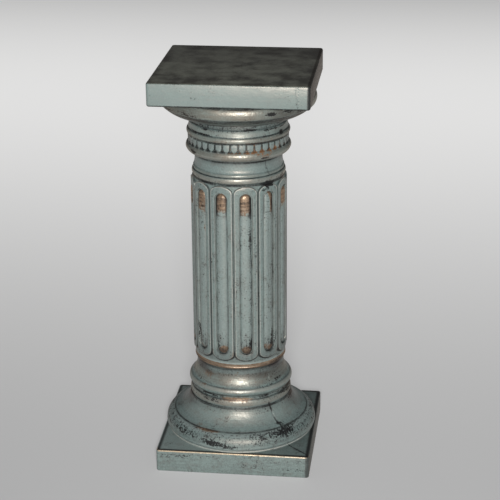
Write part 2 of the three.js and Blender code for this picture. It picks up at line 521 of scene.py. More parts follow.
def arched_outline(half_width, bottom, top, rise):
    """A circle of vertices in the front plane, stretched to an outline that is round at both ends."""
    middle = (bottom + top) / 2
    start_clean()
    bpy.ops.mesh.primitive_circle_add(
        vertices=ARCH_STEPS, radius=half_width * MM, location=(0.0, 0.0, middle * MM),
        rotation=(math.pi / 2, 0.0, 0.0),
    )
    piece = bpy.context.object
    piece.scale.y = rise / half_width
    apply_place(piece)
    bpy.ops.object.mode_set(mode="EDIT")
    lift = (top - bottom) / 2 - rise
    for side in (1, -1):
        pick_vertices(piece, lambda place, side=side: side * (place.z - middle) > 0.0)
        bpy.ops.transform.translate(value=(0.0, 0.0, side * lift * MM))
    bpy.ops.object.mode_set(mode="OBJECT")
    return piece


def joined(name, pieces):
    start_clean()
    for piece in pieces:
        piece.select_set(True)
    bpy.context.view_layer.objects.active = pieces[0]
    bpy.ops.object.join()
    pieces[0].name = name
    return pieces[0]


def bent_round(piece, width, radius):
    """Bends a flat front piece round the axis, so that its back lies at that radius."""
    make_active(piece)
    bend = piece.modifiers.new("bend", "SIMPLE_DEFORM")
    bend.deform_method = "BEND"
    bend.deform_axis = "Z"
    bend.angle = width / radius
    bpy.ops.object.modifier_apply(modifier=bend.name)
    bpy.ops.object.mode_set(mode="EDIT")
    bpy.ops.mesh.select_all(action="SELECT")
    bpy.ops.transform.translate(value=(0.0, -radius * MM, 0.0))
    bpy.ops.mesh.normals_make_consistent(inside=False)
    bpy.ops.object.mode_set(mode="OBJECT")


def on_outline(place, half_width, bottom, top, rise):
    """True if a place lies on that round-ended outline."""
    reach = abs(place.z - (bottom + top) / 2) - ((top - bottom) / 2 - rise)
    ratio = math.hypot(place.x / half_width, max(0.0, reach) / rise)
    return abs(ratio - 1.0) < ON_OUTLINE


def on_front_rim(first, second):
    """True for an edge that runs along the front rim of the panel or of its channel."""
    if any(abs(end.y + PANEL_DEPTH) > NEAR_ENOUGH for end in (first, second)):
        return False
    return any(
        on_outline(first, *shape) and on_outline(second, *shape) for shape in (PANEL_SHAPE, CHANNEL_SHAPE)
    )


def panel_piece():
    panel = joined("panel", [arched_outline(*PANEL_SHAPE), arched_outline(*CHANNEL_SHAPE)])
    bpy.ops.object.mode_set(mode="EDIT")
    bpy.ops.mesh.select_all(action="SELECT")
    bpy.ops.mesh.bridge_edge_loops()
    bpy.ops.mesh.select_all(action="SELECT")
    bpy.ops.mesh.extrude_region_move(TRANSFORM_OT_translate={"value": (0.0, -PANEL_DEPTH * MM, 0.0)})
    pick_edges(panel, on_front_rim)
    bpy.ops.mesh.bevel(offset=PANEL_EDGE * MM, segments=PANEL_EDGE_STEPS)
    bpy.ops.object.mode_set(mode="OBJECT")
    bent_round(panel, 2 * PANEL_HALF_WIDTH, PANEL_RADIUS - PANEL_DEPTH)
    print("panel", triangle_count(panel), "triangles")
    return panel


panel = panel_piece()

# %% Rod
ROD_HALF_WIDTH = 10.0
ROD_RADIUS = 83.0
ROD_DEPTH = 5.2
ROD_BOTTOM = 206.5
ROD_TOP = 497.2
ROD_SIDES = 32
ROD_RINGS = 17


def rod_piece():
    """A sphere pressed flat, whose upper and lower halves are drawn apart to make a round-ended rod."""
    middle = (ROD_BOTTOM + ROD_TOP) / 2
    start_clean()
    bpy.ops.mesh.primitive_uv_sphere_add(segments=ROD_SIDES, ring_count=ROD_RINGS, radius=1.0)
    rod = bpy.context.object
    rod.name = "rod"
    rod.location = (0.0, (ROD_DEPTH - ROD_RADIUS) * MM, middle * MM)
    rod.scale = (ROD_HALF_WIDTH * MM, ROD_DEPTH * MM, ROD_HALF_WIDTH * MM)
    apply_place(rod)
    bpy.ops.object.mode_set(mode="EDIT")
    lift = (ROD_TOP - ROD_BOTTOM) / 2 - ROD_HALF_WIDTH
    for side in (1, -1):
        pick_vertices(rod, lambda place, side=side: side * (place.z - middle) > 0.0)
        bpy.ops.transform.translate(value=(0.0, 0.0, side * lift * MM))
    bpy.ops.object.mode_set(mode="OBJECT")
    print("rod", triangle_count(rod), "triangles")
    return rod


rod = rod_piece()

# %% [markdown]
# ## The course of small blocks
#
# Forty small blocks sit on the roll under the ring. One cube is rounded at its two lower corners and
# softened round its face. The narrow gaps between the blocks are what shows as dark, upside-down T shapes.

# %% Block
BLOCKS = 40
BLOCK_PHASE = 2.5
BLOCK_WIDTH = 10.6
BLOCK_BOTTOM = 571.2
BLOCK_TOP = 585.6
BLOCK_RADIUS = 85.9
BLOCK_DEPTH = 6.0
BLOCK_CORNER = 3.4
BLOCK_CORNER_STEPS = 4
BLOCK_EDGE = 0.9
BLOCK_EDGE_STEPS = 2


def block_piece():
    start_clean()
    middle = (BLOCK_BOTTOM + BLOCK_TOP) / 2
    bpy.ops.mesh.primitive_cube_add(size=1.0)
    block = bpy.context.object
    block.name = "block"
    block.location = (0.0, (BLOCK_DEPTH / 2 - BLOCK_RADIUS) * MM, middle * MM)
    block.scale = (BLOCK_WIDTH * MM, BLOCK_DEPTH * MM, (BLOCK_TOP - BLOCK_BOTTOM) * MM)
    apply_place(block)
    bpy.ops.object.mode_set(mode="EDIT")
    pick_edges(block, lambda first, second: abs(first.y - second.y) > NEAR_ENOUGH and first.z < middle)
    bpy.ops.mesh.bevel(offset=BLOCK_CORNER * MM, segments=BLOCK_CORNER_STEPS)
    pick_edges(block, lambda first, second: max(first.y, second.y) < NEAR_ENOUGH - BLOCK_RADIUS)
    bpy.ops.mesh.bevel(offset=BLOCK_EDGE * MM, segments=BLOCK_EDGE_STEPS)
    bpy.ops.object.mode_set(mode="OBJECT")
    print("block", triangle_count(block), "triangles")
    return block


block = block_piece()

# %% [markdown]
# ## Copies round the axis
#
# Panels and rods stand at every thirty degrees, with a groove between two panels at the front. The blocks
# stand at every nine degrees. Each copy gets its own mesh.

# %% Copies


def ring_of(piece, count, first_angle):
    """Copies a front piece round the axis, from an angle in degrees to the right of the front."""
    copies = []
    for index in range(count):
        make_active(piece)
        bpy.ops.object.duplicate(linked=False)
        copy = bpy.context.object
        copy.rotation_euler.z = math.radians(first_angle + 360.0 * index / count)
        apply_place(copy)
        copies.append(copy)
    bpy.data.objects.remove(piece)
    return joined(copies[0].name.split(".")[0] + "_ring", copies)


HALF_BAY = 180.0 / PANELS
panels = ring_of(panel, PANELS, HALF_BAY)
rods = ring_of(rod, PANELS, HALF_BAY)
blocks = ring_of(block, BLOCKS, BLOCK_PHASE)
print("panels", triangle_count(panels), "rods", triangle_count(rods), "blocks", triangle_count(blocks))

# %% [markdown]
# ## One casting
#
# The real column came out of one mould, so the shapes are welded by Boolean unions into one closed skin.

# %% Weld into one skin
SMOOTH_ANGLE = math.radians(38.0)


def weld(body, part):
    make_active(body)
    union = body.modifiers.new("union", "BOOLEAN")
    union.operation = "UNION"
    union.solver = "MANIFOLD"
    union.object = part
    bpy.ops.object.modifier_apply(modifier=union.name)
    bpy.data.objects.remove(part)


column = turned
for part in (plinth, abacus, panels, rods, blocks):
    weld(column, part)
column.name = "column_casting"
make_active(column)
bpy.ops.object.shade_smooth_by_angle(angle=SMOOTH_ANGLE)


def open_edges(piece):
    """How many edges don't join exactly two faces."""
    uses = {}
    for polygon in piece.data.polygons:
        for key in polygon.edge_keys:
            uses[key] = uses.get(key, 0) + 1
    return sum(1 for count in uses.values() if count != 2)


print("column", triangle_count(column), "triangles,", open_edges(column), "open edges")

# %% [markdown]
# ## Where a point of the surface is
#
# All the wear follows the shape: a crease keeps its dark wash, a ridge is rubbed back to bronze. So the
# finish starts by saying where a point is, in millimetres: its height, its distance from the axis, its
# bearing round the column in degrees to the right of the front, and, on the shaft, its place across the
# nearest panel.

# %% Coordinates of the finish
paint = Paint("verdigris_over_bronze")
spot = paint.node("ShaderNodeTexCoord")[3]
metres = paint.node("ShaderNodeSeparateXYZ", {}, (spot,))
x, y, z = (part * (1.0 / MM) for part in metres)
radius = paint.number("SQRT", x * x + y * y)
bearing = paint.number("ARCTAN2", x, y * -1.0) * (180.0 / math.pi)

BAY = 360.0 / PANELS
across = (paint.number("FRACT", bearing / BAY) - 0.5) * (math.radians(BAY) * PANEL_RADIUS)


def from_spine(half_width, bottom, top, rise):
    """Distance from the middle line of a round-ended outline, so that the outline lies at its half width."""
    past_end = paint.number("MAXIMUM", z - (top - rise), (bottom + rise) - z)
    past_end = paint.number("MAXIMUM", past_end, 0.0) * (half_width / rise)
    return paint.number("SQRT", across * across + past_end * past_end)


in_panel = from_spine(*PANEL_SHAPE)
in_channel = from_spine(*CHANNEL_SHAPE)
shaft = z.ramped(SHAFT_BOTTOM, SHAFT_BOTTOM + 0.6) * z.ramped(SHAFT_TOP - 0.6, SHAFT_TOP - 1.6)
rod_face = shaft * in_channel.ramped(CHANNEL_HALF_WIDTH - 0.8, CHANNEL_HALF_WIDTH - 1.6)
from_side = paint.number("MAXIMUM", abs(x), abs(y))
print("coordinates ready")

# %% [markdown]
# ## Brush, speckle and cloud
#
# Seven noises do for all the paint. Clouds vary the tone over a hand's width, patches over a thumb's and
# blotches over a fingertip's. Strokes run level round the mouldings, streaks run down the shaft, and specks
# and grit are the grain that dry paint leaves.

# %% Noises
cloud = paint.noise(spot, 70.0, detail=2.0)
patch = paint.noise(spot, 24.0, detail=3.0)
blotch = paint.noise(spot, 9.0, detail=2.0)
specks = paint.noise(spot, 3.3, detail=2.0, roughness=0.6)
grit = paint.noise(spot, 2.1, detail=1.0)
strokes = paint.noise(spot, 3.6, detail=3.0, roughness=0.6, stretch=(8.0, 8.0, 1.0))
streaks = paint.noise(spot, 3.2, detail=3.0, roughness=0.6, stretch=(1.0, 1.0, 7.0))
brush = strokes + (streaks - strokes) * shaft


def broken(amount, grain, start=0.34, end=0.92):
    """Turns a smooth amount into paint with a ragged edge: a grain pushes it past a threshold and back."""
    return (amount + grain).ramped(start, end) * amount.ramped(0.03, 0.15)


on_map = paint.node("ShaderNodeCombineXYZ", {}, (bearing, z, 0.0))[0]
SPOT_CORE = 0.15


def vector_math(operation, *inputs):
    return paint.node("ShaderNodeVectorMath", {"operation": operation}, inputs)[0]


def spots(*rows):
    """Soft round patches, each (bearing, height, reach in degrees, reach in millimetres, amount)."""
    total = 0.0
    for at, height, reach_round, reach_up, amount in rows:
        scale = (1.0 / reach_round, 1.0 / reach_up, 0.0)
        shift = (-at / reach_round, -height / reach_up, 0.0)
        from_middle = vector_math("MULTIPLY_ADD", on_map, scale, shift)
        total = vector_math("LENGTH", from_middle).ramped(1.0, SPOT_CORE, amount) + total
    return total


def greatest(parts):
    """The strongest of several amounts at each point."""
    strongest = parts[0]
    for part in parts[1:]:
        strongest = paint.number("MAXIMUM", strongest, part)
    return strongest


def bands(low, high, rows):
    """A grey that follows the height from low to high; each row is (from, to, fade, amount)."""
    stops = [(0.0, 0.0)]
    for start, end, fade, amount in rows:
        for height, shade in ((start - fade, 0.0), (start, amount), (end, amount), (end + fade, 0.0)):
            stops.append(((height - low) / (high - low), shade))
    return paint.node("ShaderNodeValToRGB", {"stops": stops}, ((z - low) / (high - low),))[0]


print("noises ready")

# %% [markdown]
# ## Dark wash in the creases
#
# Thin dark paint was brushed on and wiped off. It stays as a crisp line in every crease between two
# mouldings, round each panel and down both sides of each rod. The line under the abacus and the band where
# the fillet meets the echinus are partly painted shadow as well.

# %% Crease lines
BASE_LOW, BASE_HIGH = 36.0, 192.0
CAPITAL_LOW, CAPITAL_HIGH = 506.0, 662.0
ABACUS_LOW, ABACUS_HIGH = 600.0, 700.0

base_creases = bands(BASE_LOW, BASE_HIGH, (
    (72.2, 73.6, 0.9, 0.85), (104.0, 107.0, 1.6, 0.85), (119.6, 121.4, 1.0, 0.90),
    (128.5, 130.0, 2.0, 0.45), (141.2, 142.2, 0.8, 0.50), (173.5, 176.8, 2.5, 0.75),
))
capital_creases = bands(CAPITAL_LOW, CAPITAL_HIGH, (
    (511.0, 514.6, 1.5, 1.00), (524.0, 525.2, 0.9, 0.75), (550.0, 554.4, 1.6, 1.00),
    (571.6, 572.6, 0.6, 0.60), (584.4, 588.0, 1.2, 0.90), (595.6, 597.4, 0.7, 0.85),
    (631.0, 638.0, 2.5, 0.85),
))
# Partly painted shadow: the line under the abacus and the band where the fillet meets the echinus.
abacus_crease = bands(ABACUS_LOW, ABACUS_HIGH, (
    (609.0, 610.2, 0.8, 0.55), (617.0, 626.0, 3.0, 0.75), (656.8, 662.0, 1.2, 1.00),
))
crease_grain = (patch * 0.20 + strokes * 0.24 + specks * 0.20 + 0.84).clamped()
crease_lines = (base_creases + capital_creases + abacus_crease) * crease_grain

channel_crease = shaft * in_channel.near(CHANNEL_HALF_WIDTH - 0.3, 2.0)
upper_end = z.ramped(PANEL_TOP - 16.0, PANEL_TOP - 6.0)
lower_end = z.ramped(PANEL_BOTTOM + 24.0, PANEL_BOTTOM + 12.0)
long_sides = (1.0 - upper_end) * (1.0 - lower_end)
groove = shaft * in_panel.ramped(PANEL_HALF_WIDTH + 0.3, PANEL_HALF_WIDTH + 1.4)
panel_outline = shaft * in_panel.near(PANEL_HALF_WIDTH + 0.9, 1.5)
below_arch = shaft * in_panel.ramped(PANEL_HALF_WIDTH + 0.2, PANEL_HALF_WIDTH + 1.2) * (
    in_panel.ramped(PANEL_HALF_WIDTH + 6.4, PANEL_HALF_WIDTH + 3.0)
)
shaft_lines = greatest([
    channel_crease * (streaks * 0.35 + patch * 0.20 + 0.66 - long_sides * 0.34).clamped(),
    groove * long_sides * (streaks * 0.45 + patch * 0.40 + 0.16).clamped(),
    panel_outline * 0.55,
    shaft * in_channel.near(CHANNEL_HALF_WIDTH - 0.3, 4.6) * lower_end * (
        patch * 0.40 + streaks * 0.30 + 0.50
    ),
    below_arch * lower_end * (patch * 0.20 + specks * 0.15 + 0.85).clamped(),
])
print("crease lines drawn")

# %% [markdown]
# ## Soft painted shade and thinned wash
#
# Smooth grey darkening, mixed towards the darkest paint colour. Much of it is painted shade: in bands
# under the thin ring and under the foot roll, on both sides of the two hollow flares, in the narrow hollow
# away from the front, towards the left and right edges of the capital and the shaft, on the rod to the
# right of the front, on the right of the plinth top, and on the right-hand sides of the two plates. On the
# dark fillet under the echinus it is partly painted shade, partly thinned wash. It also darkens down the
# right side of each rod and towards its foot.

# %% Soft shades
FRONT_BEARING = 2.0
front = abs(bearing - FRONT_BEARING).ramped(28.0, 8.0)
# Painted shade: mostly bands under the thin ring and under the foot roll, and the narrow hollow except at
# its front.
base_shade_and_wash = bands(BASE_LOW, BASE_HIGH, (
    (58.0, 70.0, 8.0, 0.10), (74.5, 76.0, 4.0, 0.20), (101.0, 106.0, 7.0, 0.16), (162.0, 176.0, 9.0, 0.30),
)) + z.near(125.0, 5.0) * (0.42 - front * 0.40)
# Under the roll and on the dark fillet under the echinus: partly painted shade, partly thinned wash.
capital_shade_and_wash = bands(CAPITAL_LOW, CAPITAL_HIGH, (
    (548.0, 556.0, 6.0, 0.30), (574.0, 582.0, 3.0, 0.10), (608.0, 626.0, 4.0, 0.40),
))
plinth_top = z.ramped(39.2, 39.8) * z.ramped(40.9, 40.2)
rod_foot = rod_face * z.ramped(246.0, 212.0)
# Painted shade: these spots darken both sides of the two hollow flares and the left and right edges of the
# capital and of the shaft; on the echinus they are partly painted shade, partly wash.
painted_shade_and_wash = base_shade_and_wash + capital_shade_and_wash + spots(
    (-72.0, 100.0, 34.0, 17.0, 0.55), (-90.0, 84.0, 40.0, 30.0, 0.20), (-55.0, 170.0, 26.0, 16.0, 0.60),
    (-38.0, 160.0, 12.0, 9.0, 0.30), (86.0, 100.0, 28.0, 22.0, 0.60), (62.0, 160.0, 40.0, 26.0, 0.30),
    (30.0, 163.0, 24.0, 12.0, 0.20), (60.0, 175.0, 26.0, 12.0, 0.50), (-68.0, 572.0, 26.0, 18.0, 0.25),
    (62.0, 600.0, 16.0, 12.0, 0.30), (46.0, 642.0, 26.0, 20.0, 0.40), (-44.0, 642.0, 26.0, 16.0, 0.30),
    (-80.0, 584.0, 26.0, 30.0, 0.40), (86.0, 584.0, 26.0, 30.0, 0.35), (-84.0, 545.0, 26.0, 24.0, 0.30),
    (88.0, 545.0, 26.0, 24.0, 0.30), (-88.0, 616.0, 30.0, 20.0, 0.30), (84.0, 350.0, 14.0, 190.0, 0.45),
)
# Painted shade on the right of the plinth top.
painted_shade_and_wash = painted_shade_and_wash + plinth_top * x.ramped(40.0, 128.0) * 0.30
painted_shade_and_wash = painted_shade_and_wash + rod_face * across.ramped(2.0, 10.0) * 0.18 + rod_foot * 0.30
# Painted shade down the rod to the right of the front; the neck above it is darkened a little too.
painted_shade_and_wash = painted_shade_and_wash + spots((48.0, 350.0, 14.0, 190.0, 0.16), (48.0, 540.0, 22.0, 20.0, 0.16))
# Painted shade on the right-hand faces of the plinth and the abacus; the shaft also darkens towards its
# foot.
right_side = x.ramped(126.5, 129.5)
painted_side_shade = (z.ramped(41.0, 40.0) * 0.40 + z.ramped(659.0, 661.0) * 0.66) * right_side
painted_shade_and_wash = (painted_shade_and_wash + shaft * z.ramped(224.0, 194.0) * 0.30 + painted_side_shade).clamped()
print("soft shades laid")

# %% [markdown]
# ## Ragged wash
#
# Elsewhere the wash dried before it was wiped. There it breaks up into specks over the shoulder of the
# torus, into level brush marks on the mouldings and the plinth, and into long specks down each rod, on the
# side away from the front.

# %% Ragged wash
moulding_ragged = bands(BASE_LOW, BASE_HIGH, (
    (57.0, 70.0, 5.0, 0.38), (98.0, 107.0, 7.0, 0.20), (112.0, 126.0, 2.0, 0.42), (144.0, 148.0, 3.0, 0.24),
    (160.0, 176.0, 8.0, 0.20),
)) + bands(CAPITAL_LOW, CAPITAL_HIGH, (
    (512.0, 519.0, 3.0, 0.26), (550.0, 557.0, 3.0, 0.25), (584.0, 589.0, 2.0, 0.20),
    (594.0, 599.0, 2.0, 0.25), (606.0, 626.0, 3.0, 0.42), (630.0, 642.0, 4.0, 0.20),
))
moulding_ragged = moulding_ragged + spots(
    # torus and plinth
    (-15.0, 55.5, 13.0, 8.0, 0.95), (-3.0, 51.5, 12.0, 6.0, 0.80), (-44.0, 62.0, 20.0, 9.0, 0.30),
    (26.0, 66.0, 26.0, 7.0, 0.30), (45.0, 68.0, 13.0, 11.0, 0.62), (44.0, 77.0, 8.0, 6.0, 0.50),
    (66.0, 74.0, 20.0, 5.0, 0.36), (7.0, 61.0, 14.0, 8.0, -0.22), (-34.0, 30.0, 17.0, 9.0, 0.22),
    (38.0, 14.0, 13.0, 5.0, 0.42),
    # ring, hollow, lip and upper flare
    (-32.0, 114.0, 18.0, 9.0, 0.28), (-30.0, 125.0, 26.0, 6.0, 0.30), (30.0, 126.0, 26.0, 6.0, 0.26),
    (80.0, 122.0, 30.0, 14.0, 0.40), (38.0, 142.0, 16.0, 2.6, 0.65), (56.0, 154.0, 26.0, 20.0, 0.26),
    (-40.0, 161.0, 9.0, 7.0, 0.34), (62.0, 181.0, 18.0, 8.0, 0.70), (-66.0, 181.0, 22.0, 8.0, 0.50),
    (-60.0, 168.0, 14.0, 10.0, 0.40), (-74.0, 106.0, 24.0, 9.0, 0.55), (86.0, 104.0, 24.0, 11.0, 0.60),
    # neck, roll and ring of the capital
    (44.0, 512.0, 11.0, 7.0, 1.00), (38.0, 503.0, 7.0, 6.0, 0.60), (70.0, 520.0, 14.0, 8.0, 0.40),
    (-50.0, 563.0, 11.0, 7.0, 1.00), (37.0, 560.5, 9.0, 3.2, 1.00), (63.0, 597.0, 6.0, 9.0, 1.00),
    (41.0, 605.0, 6.0, 5.0, 0.60), (-44.0, 597.5, 30.0, 2.6, 0.80), (-34.0, 607.0, 9.0, 3.0, 0.70),
    (20.0, 609.5, 17.0, 2.4, 0.75),
    # echinus
    (31.0, 648.0, 8.0, 6.0, 1.10), (46.0, 649.0, 9.0, 6.0, 1.15), (58.0, 646.0, 10.0, 10.0, 0.80),
    (-32.0, 644.0, 18.0, 10.0, 0.50), (-58.0, 645.0, 16.0, 12.0, 0.45),
)
moulding_ragged = moulding_ragged + z.near(30.0, 11.0) * z.ramped(39.0, 37.5) * 0.20
outward = across * paint.number("SIGN", bearing)
outer_side = outward.ramped(2.0, 9.0)
rod_head = rod_face * z.ramped(452.0, 464.0)
shaft_ragged = rod_face * 0.12 + outer_side * rod_face * 0.26 + (1.0 - rod_face) * shaft * 0.10
shaft_ragged = shaft_ragged + rod_foot * (outer_side * 0.45 + 0.30) + patch * shaft * 0.12
shaft_ragged = shaft_ragged + spots(
    (20.5, 407.0, 3.6, 30.0, 0.42), (18.0, 428.0, 4.0, 18.0, 0.30), (-42.0, 436.0, 5.0, 18.0, 0.26),
    (27.0, 400.0, 4.0, 30.0, 0.25), (-52.0, 236.0, 7.0, 36.0, 0.60), (50.0, 226.0, 9.0, 26.0, 0.50),
    (20.0, 226.0, 5.0, 16.0, 0.36), (9.0, 400.0, 2.5, 80.0, 0.26),
)
torus_zone = z.near(58.0, 24.0)
level_grain = strokes * 0.34 + specks * 0.26 + grit * 0.22
torus_grain = strokes * 0.10 + specks * 0.44 + grit * 0.24 + blotch * 0.14
moulding_grain = level_grain + (torus_grain - level_grain) * torus_zone
shaft_grain = streaks * 0.34 + specks * 0.32 + grit * 0.26
stray_specks = (specks * 0.6 + grit * 0.5 + patch * 0.9).ramped(0.90, 1.60) * 0.60
ragged_wash = greatest([
    broken(moulding_ragged, moulding_grain), broken(shaft_ragged, shaft_grain), stray_specks,
])
print("ragged wash laid")

# %% [markdown]
# ## Bronze
#
# Bronze shows where the verdigris was never brushed on or has been rubbed through: on the upper end of each
# rod, in a crescent at its lower end, on the foot roll, in the narrow hollow, in the gaps between the
# blocks, and along the front edge of the plinth. One rod on the right was painted over on the left of its
# upper end.

# %% Bronze on the shaft
rod_top_bronze = rod_face * (z + strokes * 5.0 + patch * 4.0).ramped(452.0, 474.0)
painted_over = spots((41.0, 474.0, 7.0, 34.0, 1.0)).ramped(0.10, 0.50)
rod_top_bronze = rod_top_bronze * (1.0 - painted_over)
rod_foot_bronze = rod_face * (z + patch * 3.0 + specks * 3.0).ramped(226.0, 212.0)
rod_foot_bronze = rod_foot_bronze * (cloud * 0.6 + 0.85 - abs(bearing).ramped(25.0, 42.0) * 0.50).clamped()
rod_side_wash = rod_head * greatest([
    (outward + specks * 1.2).ramped(3.0, 7.6) * 0.95,
    (strokes * 0.8 + specks * 0.4 + grit * 0.3).ramped(0.10, 0.90) * 0.80,
    outward.ramped(-7.0, -9.5) * 0.60,
    spots((20.0, 459.0, 4.6, 6.5, 1.3), (50.0, 476.0, 4.5, 24.0, 1.2), (-50.0, 484.0, 4.0, 24.0, 1.2)),
]).clamped()
print("bronze on the rods")

# %% Bronze on the mouldings
BLOCK_PITCH = 360.0 / BLOCKS
GAP_BEARING = BLOCK_PHASE + BLOCK_PITCH / 2
from_gap = (paint.number("FRACT", (bearing - GAP_BEARING) / BLOCK_PITCH + 0.5) - 0.5) * (
    math.radians(BLOCK_PITCH) * BLOCK_RADIUS
)
block_course = z.ramped(BLOCK_BOTTOM - 2.5, BLOCK_BOTTOM) * z.ramped(BLOCK_TOP, BLOCK_TOP - 1.5)
foot_spread = z.ramped(BLOCK_BOTTOM + 6.0, BLOCK_BOTTOM) * 3.2
block_gap = block_course * (abs(from_gap) - foot_spread + specks * 0.4).ramped(2.3, 1.0)
STAINED_BEARING = 32.0
front_right = abs(bearing - STAINED_BEARING).ramped(50.0, 10.0)
stains = block_gap * (front_right * 0.55 + 0.12) + spots(
    (26.0, 571.0, 8.0, 8.0, 0.45), (35.0, 567.0, 9.0, 9.0, 0.62), (45.0, 566.0, 8.0, 9.0, 0.55),
    (54.0, 574.0, 8.0, 7.0, 0.45), (22.0, 587.0, 18.0, 2.6, 0.60), (40.0, 606.0, 3.0, 6.0, 0.40),
    (44.0, 590.0, 4.0, 8.0, 0.35), (2.0, 570.5, 40.0, 2.4, 0.40),
)
rust = broken(stains, specks * 0.34 + blotch * 0.26 + grit * 0.24, 0.44, 0.94)

base_bronze = bands(BASE_LOW, BASE_HIGH, ((150.0, 162.0, 9.0, 0.20), (178.0, 185.2, 1.2, 0.90)))
capital_bronze = bands(CAPITAL_LOW, CAPITAL_HIGH, (
    (515.5, 521.5, 2.0, 0.12), (556.0, 561.0, 3.0, 0.22), (586.5, 593.0, 2.0, 0.20),
    (640.0, 655.0, 5.0, 0.14),
))
bronze_amount = base_bronze * (1.0 - abs(bearing).ramped(70.0, 100.0) * 0.3) + capital_bronze
bronze_amount = bronze_amount + rod_top_bronze * 0.90 + rod_foot_bronze * 0.95
bronze_amount = bronze_amount + block_course * front_right * 0.10 + front * z.near(122.0, 8.0) * 0.95
panel_rim = shaft * in_panel.near(PANEL_HALF_WIDTH - 0.2, 1.2)
bronze_amount = bronze_amount + panel_rim * (upper_end * 0.34 + lower_end * 0.42)
bronze_amount = bronze_amount + spots(
    (-40.0, 159.0, 15.0, 11.0, 0.40), (-22.0, 72.0, 22.0, 2.6, 0.75), (-30.0, 76.0, 18.0, 4.0, 0.30),
    (2.0, 168.0, 6.0, 8.0, 0.35), (-40.0, 141.5, 10.0, 3.0, 0.50), (-24.0, 68.0, 8.0, 5.0, 0.34),
    (19.5, 410.0, 4.0, 22.0, 0.45), (-38.5, 432.0, 3.5, 15.0, 0.50), (0.0, 204.0, 11.0, 14.0, 0.30),
    (-13.0, 214.0, 6.0, 11.0, 0.60), (16.0, 213.0, 8.0, 11.0, 0.60), (47.0, 212.0, 6.0, 9.0, 0.45),
)
bronze = broken(bronze_amount, blotch * 0.14 + specks * 0.18 + brush * 0.16 + grit * 0.10, 0.28, 0.78)

plinth_front = paint.number("MULTIPLY", y, -1.0).ramped(120.0, 128.0)
edge_gap = PLINTH_WIDTH / 2 - from_side
plinth_rim = (edge_gap + (PLATE_THICKNESS - z)).ramped(2.4, 1.4)
plinth_rim = plinth_rim * z.ramped(36.8, 37.6) * z.ramped(41.0, 40.5)
plinth_line = plinth_rim * plinth_front * (strokes * 0.25 + patch * 0.20 + 0.85).clamped()
behind_line = plinth_top * edge_gap.ramped(1.4, 2.4) * edge_gap.ramped(9.0, 4.0)
behind_line = behind_line * (0.75 + plinth_front * 0.20)
print("bronze laid")

# %% [markdown]
# ## Polish
#
# Where a cloth rubbed the fullest curves, a film of bronze shines through the verdigris. It hardly changes
# the colour, but it makes the highlight there warm and bright. In front, where the lamp's highlights fall,
# the colour is pushed a little further towards warm bronze: a painted warm highlight.

# %% Polish
polish = bands(BASE_LOW, BASE_HIGH, (
    (82.0, 100.0, 6.0, 0.20), (110.5, 118.5, 1.2, 1.00), (136.0, 140.5, 1.5, 0.75),
    (148.0, 162.0, 5.0, 0.80), (178.5, 185.0, 1.0, 1.00),
)) + bands(CAPITAL_LOW, CAPITAL_HIGH, (
    (516.0, 522.5, 1.2, 1.00), (526.0, 529.5, 1.2, 0.40), (558.0, 569.0, 2.0, 1.00),
    (588.0, 595.0, 1.0, 0.80), (599.0, 606.0, 1.0, 0.35), (641.0, 656.5, 3.0, 1.00),
))
polish = (polish * (patch * 0.25 + strokes * 0.15 + 0.95)).clamped()
print("curves polished")

# %% [markdown]
# ## Mould seam
#
# The two halves of the mould met on the front-right diagonal. The line wanders, and the wash has caught in
# it where it opened: at the top of the shaft, under the thin ring and down over the torus.

# %% Seam
SEAM_LEAST, SEAM_MOST = 36.0, 52.0
SEAM_PATH = (
    (40.0, 46.5), (58.0, 44.0), (66.0, 45.0), (77.0, 43.5), (84.0, 42.5), (105.0, 41.5), (116.0, 39.5),
    (140.0, 44.0), (190.0, 45.0), (505.0, 44.0), (513.0, 39.5), (517.0, 48.0), (530.0, 47.5), (546.0, 43.5),
    (600.0, 45.0), (655.0, 40.0),
)
CRACK_BEARING = 46.0
CRACK_HEIGHT = 511.0

seam_spread = SEAM_MOST - SEAM_LEAST
seam_stops = [(height / COLUMN_HEIGHT, (at - SEAM_LEAST) / seam_spread) for height, at in SEAM_PATH]
seam_ramp = paint.node("ShaderNodeValToRGB", {"stops": seam_stops}, (z / COLUMN_HEIGHT,))[0]
seam_bearing = seam_ramp * seam_spread + SEAM_LEAST
from_seam = abs((bearing - seam_bearing) * (math.pi / 180.0) * radius + specks * 0.8 + blotch * 0.8)
seam_open = bands(BASE_LOW, BASE_HIGH, (
    (40.0, 48.0, 2.0, 0.45), (60.0, 84.0, 8.0, 0.90), (96.0, 108.0, 7.0, 0.85),
))
seam_open = seam_open + bands(500.0, 660.0, (
    (504.0, 516.0, 4.0, 1.0), (526.0, 549.0, 3.0, 0.50), (585.0, 602.0, 4.0, 0.40),
))
seam_reach = seam_open * 1.3 + 0.5
seam = (from_seam / seam_reach).ramped(1.6, 0.6) * (seam_open + patch * 0.30 - 0.05).clamped()
plinth_seam = from_seam.ramped(2.0, 0.7) * z.near(40.0, 1.5) * 0.80
from_crack = abs(bearing - CRACK_BEARING)
top_crack = (abs(z - CRACK_HEIGHT + specks * 1.5) - from_crack.ramped(14.0, 3.0) * 3.0).ramped(1.5, 0.0)
top_crack = top_crack * from_crack.ramped(13.0, 8.0)
print("seam drawn")

# %% [markdown]
# ## Pale rubbed paint and painted highlights
#
# The verdigris is lightest on flat faces that took a full brush and on the rims that a cloth rubs: the
# abacus front, the faces of the blocks, the edges of the panels and the fine fillet where the torus meets
# the plinth. The paler panel edges at the upper arches and the pale bands on the thin rings, the rounded
# lip and the rolls are painted highlights as well. The plinth top and the abacus sides are painted lighter
# towards the left: painted light.

